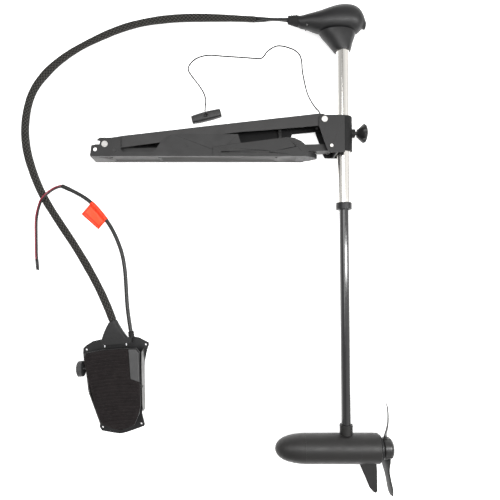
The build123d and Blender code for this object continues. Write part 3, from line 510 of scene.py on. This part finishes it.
# the base's downward-facing face gets a paler copy of the paint: painted light, as if lit from that side
faces_to("mount_base", "painted_lit_face", lambda x, y, z, n: n.y < -0.9 and y < 299)
# the insides of the arms, base and bracket get the near-black copy of the paint: painted shade in the recesses
faces_to("mount_base", "painted_shade", lambda x, y, z, n: y >= 299 and 6.5 < z < 85.5 and abs(n.y) < 0.3 or (n.y > 0.9 and 7 < z < 85))
faces_to("outer_arm", "painted_shade", lambda x, y, z, n: (z < 13.5 and x > -120) or (n.y < -0.7 and 13 < z < 79))
faces_to("column_bracket", "painted_shade", lambda x, y, z, n: x > 303.6 or (z < 83.5 and x < 282 and n.x < -0.5) or z < 8.5)


def finish_piece(o, mat, body=None, replaces=()):
    o.data.materials.clear()
    o.data.materials.append(M[mat])
    if body:
        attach(o, body)
    if replaces:
        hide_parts(*replaces)
    return o


# ------------------------------------------------------------------ cords
# Braided sleeve: swells over the bundle inside it and draws in towards the head end.
path, s_at = route_line("main_sheath", 0.0035)
n = len(path)
WIDTHS = [(0, 12.6), (0.06, 12.9), (0.2, 12.1), (0.35, 11.8), (0.5, 12.2), (0.62, 13.2), (0.7, 12.4), (0.82, 11.2), (0.93, 12.8), (1.0, 11.2), (1.1, 9.8),
          (1.2, 11.8), (1.3, 11.7), (1.38, 12.6), (1.46, 13.0), (1.52, 12.4), (1.58, 10.9), (1.64, 10.2), (1.69, 9.8)]
base_r = np.interp(s_at, [w[0] for w in WIDTHS], [w[1] / 1000 for w in WIDTHS])
base_r = base_r + 0.00035 * smooth_noise(n, 12, 11) + 0.0002 * smooth_noise(n, 5, 12)
twist = s_at * 9.0
lobe = 0.025 + 0.02 * smooth_noise(n, 30, 13)


def sheath_radius(i, a):
    r = base_r[i] * (1 + lobe[i] * math.cos(3 * a + twist[i]) + 0.012 * math.cos(2 * a - 1.7 * twist[i]))
    end = min(s_at[i], s_at[-1] - s_at[i])
    if end < 0.006:
        r *= 0.9 + 0.1 * end / 0.006
    return min(r, 0.01295)


sheath = tube("main_sheath_visual", path, sheath_radius, seg=40)
finish_piece(sheath, "sleeve", "root", ("main_sheath",))

cable_obs = {}
for nm in ("steering_cable_a", "steering_cable_b"):
    p, s = route_line(nm, 0.002)
    o = tube(nm + "_visual", p, lambda i, a: 0.00448, seg=24)
    cable_obs[nm] = (finish_piece(o, "jacket", "root", (nm,)), p)

# Power cable, a little fat where the jacket is sleeved at its cut end.
pc_path, pc_s = route_line("power_cable", 0.0025)


def pc_radius(i, a):
    left = pc_s[-1] - pc_s[i]
    r = 0.0064
    if left < 0.034:
        t = min(1.0, max(0.0, (0.034 - left) / 0.006))
        r += 0.0007 * t * t * (3 - 2 * t)
    if left < 0.0012:
        r *= 0.93
    return r


power = tube("power_cable_visual", pc_path, pc_radius, seg=32)
finish_piece(power, "jacket", "root", ("power_cable",))

wire_obs = {}
for nm, mt, sl in (("red_wire", "red", "red_insulation"), ("black_wire", "blackwire", "black_insulation")):
    p, s = route_line(nm, 0.0018)
    o = tube(nm + "_visual", p, lambda i, a: 0.0025, seg=20)
    wire_obs[nm] = (finish_piece(o, mt, "root", (nm,)), p)

rope_path, rope_s = route_line("pull_rope", 0.0016)
rope = tube("pull_rope_visual", rope_path, lambda i, a: 0.002 * (1 + 0.05 * math.cos(6 * a)), seg=18)
finish_piece(rope, "rope", "outer_arm", ("pull_rope",))


# ------------------------------------------------------------------ ring terminals with heat-shrink sleeves
def lathe(name, profile, origin, axis, seg=40, mat=None):
    """Turned piece: profile of (along, radius) in metres."""
    axis = Vector(axis).normalized()
    side = axis.orthogonal().normalized()
    up = axis.cross(side)
    verts, faces = [], []
    for x, r in profile:
        for k in range(seg):
            a = 2 * math.pi * k / seg
            verts.append(Vector(origin) + axis * x + (side * math.cos(a) + up * math.sin(a)) * max(r, 1e-5))
    for i in range(len(profile) - 1):
        for k in range(seg):
            k2 = (k + 1) % seg
            faces.append((i * seg + k, i * seg + k2, (i + 1) * seg + k2, (i + 1) * seg + k))
    faces.append(tuple(range(seg))[::-1])
    faces.append(tuple((len(profile) - 1) * seg + k for k in range(seg)))
    return mesh_object(name, verts, faces)


def add_bevel(o, w, seg=2, angle=30):
    b = o.modifiers.new("edge", "BEVEL")
    b.width = w
    b.segments = seg
    b.limit_method = "ANGLE"
    b.angle_limit = math.radians(angle)
    n = o.modifiers.new("normals", "WEIGHTED_NORMAL")
    n.keep_sharp = True
    return o


for nm, zt, side_off in (("red_wire", 4.2, -2.7), ("black_wire", 1.4, 2.7)):
    a0, a1 = Vector(PTS[nm][-2]), Vector(PTS[nm][-1])
    d = (a1 - a0)
    d.z = 0
    d.normalize()
    perp = Vector((d.y, -d.x, 0))
    prof = [(-0.012, 0.0026), (-0.0118, 0.00275), (0.0, 0.0028), (0.012, 0.00275), (0.020, 0.0025), (0.0255, 0.0021), (0.0262, 0.0016)]
    sl = lathe(nm.split("_")[0] + "_shrink_sleeve", prof, a1, d, 24)
    finish_piece(sl, "blackwire", "root", ("wire_terminals",))
    c = a1 + d * 0.036 + perp * (side_off / 1000)
    c.z = zt / 1000
    # flat ring with its tongue
    outer, inner = [], []
    seg = 40
    for k in range(seg):
        a = 2 * math.pi * k / seg
        ro = 0.005
        ca = math.cos(a)
        q = Vector((d.x * ca - d.y * math.sin(a), d.y * ca + d.x * math.sin(a), 0))
        outer.append(c + q * ro)
        inner.append(c + q * 0.0026)
    verts, faces = [], []
    for z in (-0.0006, 0.0006):
        verts += [v + Vector((0, 0, z)) for v in outer]
        verts += [v + Vector((0, 0, z)) for v in inner]
    for k in range(seg):
        k2 = (k + 1) % seg
        faces.append((k, k2, seg + k2, seg + k)[::-1])
        faces.append((2 * seg + k, 2 * seg + k2, 3 * seg + k2, 3 * seg + k))
        faces.append((k, k2, 2 * seg + k2, 2 * seg + k))
        faces.append((seg + k, seg + k2, 3 * seg + k2, 3 * seg + k)[::-1])
    rg = mesh_object(nm.split("_")[0] + "_ring_terminal", verts, faces, smooth=True)
    t0 = a1 + d * 0.024
    t0.z = zt / 1000
    t1 = c - d * 0.0035
    tongue_path = np.array([list(t0.lerp(t1, t)) for t in np.linspace(0, 1, 8)])
    tg = tube("tongue", tongue_path, lambda i, a: 0.0016 + 0.0006 * abs(math.cos(a)) ** 2, seg=16)
    bpy.ops.object.select_all(action="DESELECT")
    tg.select_set(True)
    rg.select_set(True)
    bpy.context.view_layer.objects.active = rg
    bpy.ops.object.join()
    add_bevel(rg, 0.0002)
    finish_piece(rg, "bright", "root", ("wire_terminals",))


# ------------------------------------------------------------------ tag: a film folded round the cable, its two leaves lying as one flag
def arc_at(path, s, point):
    i = int(np.argmin(np.linalg.norm(path[:, :2] - np.array(point[:2]), axis=1)))
    return i


ia, ib = sorted((arc_at(pc_path, pc_s, L(-533.1, 160.8, 0)), arc_at(pc_path, pc_s, L(-474.1, 108.4, 0))))
seg_path = pc_path[ia:ib + 1]
tdir = Vector(seg_path[-1] - seg_path[0]).normalized()
flag_dir = Vector((-0.664, -0.748, 0.0))
mid = seg_path.mean(0)
rows = []
R_TAG = 0.0071
for i, p in enumerate(seg_path):
    tt = np.gradient(seg_path, axis=0)[i]
    tt = Vector(tt).normalized()
    out = Vector((flag_dir.x, flag_dir.y, 0)).normalized()
    up = Vector((0, 0, 1))
    prof = []
    # flag end of the lower leaf, back to the cable, round it, and out again on the upper leaf
    base_dist = 0.0470 - (Vector(p) - Vector(mid)).dot(flag_dir)
    far = base_dist
    zc = p[2]

    def leaf(q, top):
        t = q
        z_line = (1 - t) * 0.0 + t * (-0.0034)
        thick = 0.00045 * (1 if top else -1)
        return z_line + thick + 0.0006 * math.sin(5.0 * t + 0.12 * i)

    qs = np.linspace(1, 0, 15)
    for q in qs:
        x = 0.0085 + (far - 0.0085) * q
        prof.append((x, leaf(q, False) * (q ** 0.5) - 0.0012 * (1 - q)))
    for a in np.linspace(-60, -300, 19):
        r = math.radians(a)
        prof.append((R_TAG * math.cos(r), R_TAG * math.sin(r)))
    for q in qs[::-1]:
        x = 0.0085 + (far - 0.0085) * q
        prof.append((x, leaf(q, True) * (q ** 0.5) + 0.0012 * (1 - q)))
    rows.append([Vector(p) + out * x + up * z for x, z in prof])
verts = [v for r in rows for v in r]
w = len(rows[0])
faces, uvs = [], []
for i in range(len(rows) - 1):
    for k in range(w - 1):
        faces.append((i * w + k, i * w + k + 1, (i + 1) * w + k + 1, (i + 1) * w + k))
        c = [(k / (w - 1), i / (len(rows) - 1)), ((k + 1) / (w - 1), i / (len(rows) - 1)), ((k + 1) / (w - 1), (i + 1) / (len(rows) - 1)),
             (k / (w - 1), (i + 1) / (len(rows) - 1))]
        uvs.append(c)
tag = mesh_object("cable_tag_visual", verts, faces, uvs)
sol = tag.modifiers.new("film", "SOLIDIFY")
sol.thickness = 0.00025
sol.offset = 0


def tag_material():
    m, nt, b = new_mat("orange_tag_film")
    b.inputs["Coat Weight"].default_value = 0.15
    b.inputs["Coat Roughness"].default_value = 0.2
    b.inputs["Specular IOR Level"].default_value = 0.3
    b.inputs["Roughness"].default_value = 0.5
    uv = node(nt, "ShaderNodeUVMap", uv_map="lay")
    sep = node(nt, "ShaderNodeSeparateXYZ")
    nt.links.new(uv.outputs[0], sep.inputs[0])

    def band(sock, lo, hi, soft=0.006):
        a = map_range(nt, sock, 0.0, 1.0, lo - soft, lo + soft)
        c = map_range(nt, sock, 1.0, 0.0, hi - soft, hi + soft)
        mm = node(nt, "ShaderNodeMath", operation="MULTIPLY")
        nt.links.new(a, mm.inputs[0])
        nt.links.new(c, mm.inputs[1])
        return mm.outputs[0]

    # a plain paler panel on each leaf, with a darker rule round it
    def leaf_mask(u0, u1, v0, v1):
        mm = node(nt, "ShaderNodeMath", operation="MULTIPLY")
        nt.links.new(band(sep.outputs["X"], u0, u1), mm.inputs[0])
        nt.links.new(band(sep.outputs["Y"], v0, v1), mm.inputs[1])
        return mm.outputs[0]

    base = ramp(nt, mapped_noise(nt, 70, 4), [(0.3, (0.70, 0.030, 0.004)), (0.7, (0.82, 0.048, 0.008))])
    col = base
    for u0, u1 in ((0.03, 0.27), (0.73, 0.97)):
        mx = node(nt, "ShaderNodeMix", data_type="RGBA")
        nt.links.new(leaf_mask(u0, u1, 0.10, 0.90), mx.inputs["Factor"])
        nt.links.new(col, mx.inputs["A"])
        mx.inputs["B"].default_value = (0.84, 0.075, 0.024, 1)
        col = mx.outputs["Result"]
    for u0, u1 in ((0.05, 0.10), (0.90, 0.95)):
        mx = node(nt, "ShaderNodeMix", data_type="RGBA")
        nt.links.new(leaf_mask(u0, u1, 0.10, 0.90), mx.inputs["Factor"])
        nt.links.new(col, mx.inputs["A"])
        mx.inputs["B"].default_value = (0.62, 0.035, 0.01, 1)
        col = mx.outputs["Result"]
    nt.links.new(col, b.inputs["Base Color"])
    bp = node(nt, "ShaderNodeBump")
    bp.inputs["Strength"].default_value = 0.35
    bp.inputs["Distance"].default_value = 0.0006
    nt.links.new(mapped_noise(nt, 90, 3), bp.inputs["Height"])
    nt.links.new(bp.outputs[0], b.inputs["Normal"])
    return m


M["tag"] = tag_material()
finish_piece(tag, "tag", "root", ("cable_tag",))


# ------------------------------------------------------------------ pull handle: a barrel-shaped moulded grip
hdir = Vector((101.5, 26, 0)).normalized()
hside = Vector((-hdir.y, hdir.x, 0))
hc = L(-146.5, 451.5, 16)
verts, faces = [], []
LEN, NS, NA = 0.102, 44, 56
for i in range(NS + 1):
    t = i / NS
    x = (t - 0.5) * LEN
    half = 0.0155 - 0.0024 * (2 * t - 1) ** 2 - 0.0006 * (1 - t)
    end = min(t, 1 - t) * LEN
    if end < 0.003:
        half *= 0.86 + 0.14 * math.sqrt(max(0, 1 - (1 - end / 0.003) ** 2))
    for k in range(NA):
        a = 2 * math.pi * k / NA
        c, s = math.cos(a), math.sin(a)
        e = 0.62
        yy = math.copysign(abs(c) ** e, c) * half
        zz = math.copysign(abs(s) ** e, s) * half * 0.96
        # long lip along the rope side of the top face, and a shallow step below it
        if s > 0.35 and c > 0.35:
            zz -= 0.0013 * (1 - abs(c - 0.72) / 0.37) if abs(c - 0.72) < 0.37 else 0
        if s > 0.5:
            dx, dy = x + 0.0016, yy - 0.001
            rr = math.hypot(dx / 0.0062, dy / 0.0058)
            if rr < 1:
                zz -= 0.008 * (1 - rr * rr) ** 0.5
            if abs(x) > 0.012:
                zz -= 0.0009 * (0.5 + 0.5 * math.cos(x * 1000 * 2 * math.pi / 5.2)) * min(1, (half - abs(yy)) / 0.004)
        verts.append(hc + hdir * x + hside * yy + Vector((0, 0, 1)) * zz)
for i in range(NS):
    for k in range(NA):
        k2 = (k + 1) % NA
        faces.append((i * NA + k, i * NA + k2, (i + 1) * NA + k2, (i + 1) * NA + k)[::-1])
faces.append(tuple(range(NA)))
faces.append(tuple(NS * NA + k for k in range(NA))[::-1])
handle = mesh_object("pull_handle_visual", verts, faces)
sub = handle.modifiers.new("sub", "SUBSURF")
sub.levels = 1
sub.render_levels = 1
finish_piece(handle, "grip", "outer_arm", ("pull_handle",))

# ------------------------------------------------------------------ tread: a moulded mat with arched ribs
PED = Matrix.Translation(L(-432, -447, 0)) @ Matrix.Rotation(math.radians(5), 4, "Z")


def P(u, v, z):
    return PED @ Vector((u / 1000, v / 1000, z / 1000))


TREAD = [(-82, 122), (-35.5, 128.3), (20.4, 128), (53.4, 126), (53.4, 30.6), (83, 18), (78.5, -58.6), (71.5, -83.7), (54, -115.5), (13, -128), (-16, -119), (-48, -99),
         (-65, -40), (-82, 47), (-89.8, 97.3)]


def inside(poly, x, y):
    c = False
    j = len(poly) - 1
    for i in range(len(poly)):
        xi, yi = poly[i]
        xj, yj = poly[j]
        if (yi > y) != (yj > y) and x < (xj - xi) * (y - yi) / (yj - yi) + xi:
            c = not c
        j = i
    return c


def edge_distance(poly, x, y):
    best = 1e9
    for i in range(len(poly)):
        x0, y0 = poly[i]
        x1, y1 = poly[(i + 1) % len(poly)]
        dx, dy = x1 - x0, y1 - y0
        t = max(0, min(1, ((x - x0) * dx + (y - y0) * dy) / (dx * dx + dy * dy)))
        best = min(best, math.hypot(x - x0 - t * dx, y - y0 - t * dy))
    return best


def plate(name, poly, z0, z1, frame_fn, bevel=0.001, seg=3):
    n_ = len(poly)
    verts = [frame_fn(x, y, z0) for x, y in poly] + [frame_fn(x, y, z1) for x, y in poly]
    faces = [tuple(range(n_))[::-1], tuple(range(n_, 2 * n_))]
    for i in range(n_):
        j = (i + 1) % n_
        faces.append((i, j, n_ + j, n_ + i))
    o = mesh_object(name, verts, faces, smooth=True)
    me = o.data
    bm = bmesh.new()
    bm.from_mesh(me)
    bmesh.ops.recalc_face_normals(bm, faces=bm.faces)
    bm.to_mesh(me)
    bm.free()
    add_bevel(o, bevel, seg)
    return o


def rounded(poly, r, steps=6):
    """Polygon with rounded corners."""
    out = []
    n_ = len(poly)
    for i in range(n_):
        p0, p1, p2 = Vector(poly[i - 1]), Vector(poly[i]), Vector(poly[(i + 1) % n_])
        a, b = (p0 - p1), (p2 - p1)
        la, lb = a.length, b.length
        ang = a.angle(b)
        t = min(r / math.tan(ang / 2), 0.45 * la, 0.45 * lb)
        q0, q2 = p1 + a / la * t, p1 + b / lb * t
        for k in range(steps + 1):
            u = k / steps
            out.append(tuple((1 - u) ** 2 * q0 + 2 * u * (1 - u) * p1 + u * u * q2))
    return out


tread_outline = rounded(TREAD, 7)
pad = plate("tread_mat", tread_outline, 54.05, 56.9, P, 0.0009)
verts, faces = [], []
rib_v = -122.0
while rib_v < 128:
    run = []
    for u in np.arange(-96, 96.1, 2.0):
        v = rib_v + 6.0 * (1 - (u / 85.0) ** 2) - 3.0
        if inside(TREAD, u, v) and edge_distance(TREAD, u, v) > 4.2:
            run.append((u, v))
        elif len(run) > 4:
            break
        else:
            run = []
    if len(run) > 6:
        base = len(verts)
        half, cross = 3.6, [(-1, 56.6), (-0.86, 58.1), (-0.55, 58.75), (0, 58.85), (0.55, 58.75), (0.86, 58.1), (1, 56.6)]
        for i, (u, v) in enumerate(run):
            e = min(i, len(run) - 1 - i)
            k = 1.0 if e >= 2 else (0.45 if e == 0 else 0.85)
            for f, z in cross:
                verts.append(P(u, v + f * half * k, 56.6 + (z - 56.6) * (1 if e else 0.35)))
        m_ = len(cross)
        for i in range(len(run) - 1):
            for k in range(m_ - 1):
                faces.append((base + i * m_ + k, base + (i + 1) * m_ + k, base + (i + 1) * m_ + k + 1, base + i * m_ + k + 1))
            faces.append((base + i * m_, base + i * m_ + m_ - 1, base + (i + 1) * m_ + m_ - 1, base + (i + 1) * m_))
        faces.append(tuple(base + k for k in range(m_)))
        faces.append(tuple(base + (len(run) - 1) * m_ + k for k in range(m_))[::-1])
    rib_v += 11.0
ribs = mesh_object("tread_ribs", verts, faces)
bm = bmesh.new()
bm.from_mesh(ribs.data)
bmesh.ops.recalc_face_normals(bm, faces=bm.faces)
bm.to_mesh(ribs.data)
bm.free()
finish_piece(pad, "tread", "treadle", ("tread_pad",))
finish_piece(ribs, "tread", "treadle", ("tread_pad",))

# ------------------------------------------------------------------ cable and wire objects looked up again, nothing further done with them
for nm in ("steering_cable_a", "steering_cable_b"):
    o, p = cable_obs[nm]
for i, nm in enumerate(("red_wire", "black_wire")):
    o, p = wire_obs[nm]

# ------------------------------------------------------------------ floor, light
me = bpy.data.meshes.new("floor")
me.from_pydata([(-8, -8, -0.0006), (8, -8, -0.0006), (8, 8, -0.0006), (-8, 8, -0.0006)], [], [(0, 1, 2, 3)])
floor = bpy.data.objects.new("floor", me)
SC.collection.objects.link(floor)
fm, nt, b = new_mat("pale_floor")
b.inputs["Roughness"].default_value = 0.9
b.inputs["Specular IOR Level"].default_value = 0.1
nt.links.new(ramp(nt, mapped_noise(nt, 1.5, 2), [(0.3, (0.9, 0.9, 0.9)), (0.7, (0.93, 0.93, 0.93))]), b.inputs["Base Color"])
b.inputs["Emission Color"].default_value = (1, 1, 1, 1)
b.inputs["Emission Strength"].default_value = 0.62
me.materials.append(fm)

world = bpy.data.worlds.new("studio")
SC.world = world
world.use_nodes = True
wt = world.node_tree
wt.nodes.clear()
wo = wt.nodes.new("ShaderNodeOutputWorld")
bg = wt.nodes.new("ShaderNodeBackground")
wt.links.new(bg.outputs[0], wo.inputs[0])
bg.inputs["Strength"].default_value = 0.85
tc = wt.nodes.new("ShaderNodeTexCoord")
sep = wt.nodes.new("ShaderNodeSeparateXYZ")
wt.links.new(tc.outputs["Generated"], sep.inputs[0])
at = wt.nodes.new("ShaderNodeMath")
at.operation = "ARCTAN2"
wt.links.new(sep.outputs["X"], at.inputs[0])
wt.links.new(sep.outputs["Z"], at.inputs[1])
mr = wt.nodes.new("ShaderNodeMapRange")
mr.inputs["From Min"].default_value = -math.pi / 2
mr.inputs["From Max"].default_value = math.pi / 2
wt.links.new(at.outputs[0], mr.inputs["Value"])
cr = wt.nodes.new("ShaderNodeValToRGB")
els = cr.color_ramp.elements
stops = [(0.0, 0.95), (0.30, 0.62), (0.415, 0.55), (0.425, 0.10), (0.45, 0.10), (0.46, 0.9), (0.78, 1.35), (0.93, 1.2), (0.945, 0.35), (0.965, 0.35), (0.975, 1.0), (1.0, 1.0)]
while len(els) < len(stops):
    els.new(0.5)
for e, (p_, v_) in zip(els, stops):
    e.position = p_
    e.color = (v_, v_ * 0.995, v_ * 0.98, 1)
wt.links.new(mr.outputs[0], cr.inputs[0])
wt.links.new(cr.outputs[0], bg.inputs["Color"])


def area(name, loc, target, size, size_y, power, color=(1, 1, 1)):
    ld = bpy.data.lights.new(name, "AREA")
    ld.shape = "RECTANGLE"
    ld.size = size
    ld.size_y = size_y
    ld.energy = power
    ld.color = color
    o = bpy.data.objects.new(name, ld)
    SC.collection.objects.link(o)
    o.location = loc
    d = Vector(target) - Vector(loc)
    o.rotation_euler = d.to_track_quat("-Z", "Y").to_euler()
    o.visible_camera = False
    return o


area("strip_right", (1.53, 0.0, 2.25), (0.36, 0.0, 0.0), 0.30, 2.6, 62)
area("soft_top", (-0.6, 0.4, 2.6), (-0.1, 0.0, 0.0), 1.8, 1.8, 34)

SC.view_settings.view_transform = "Standard"
SC.view_settings.look = "None"
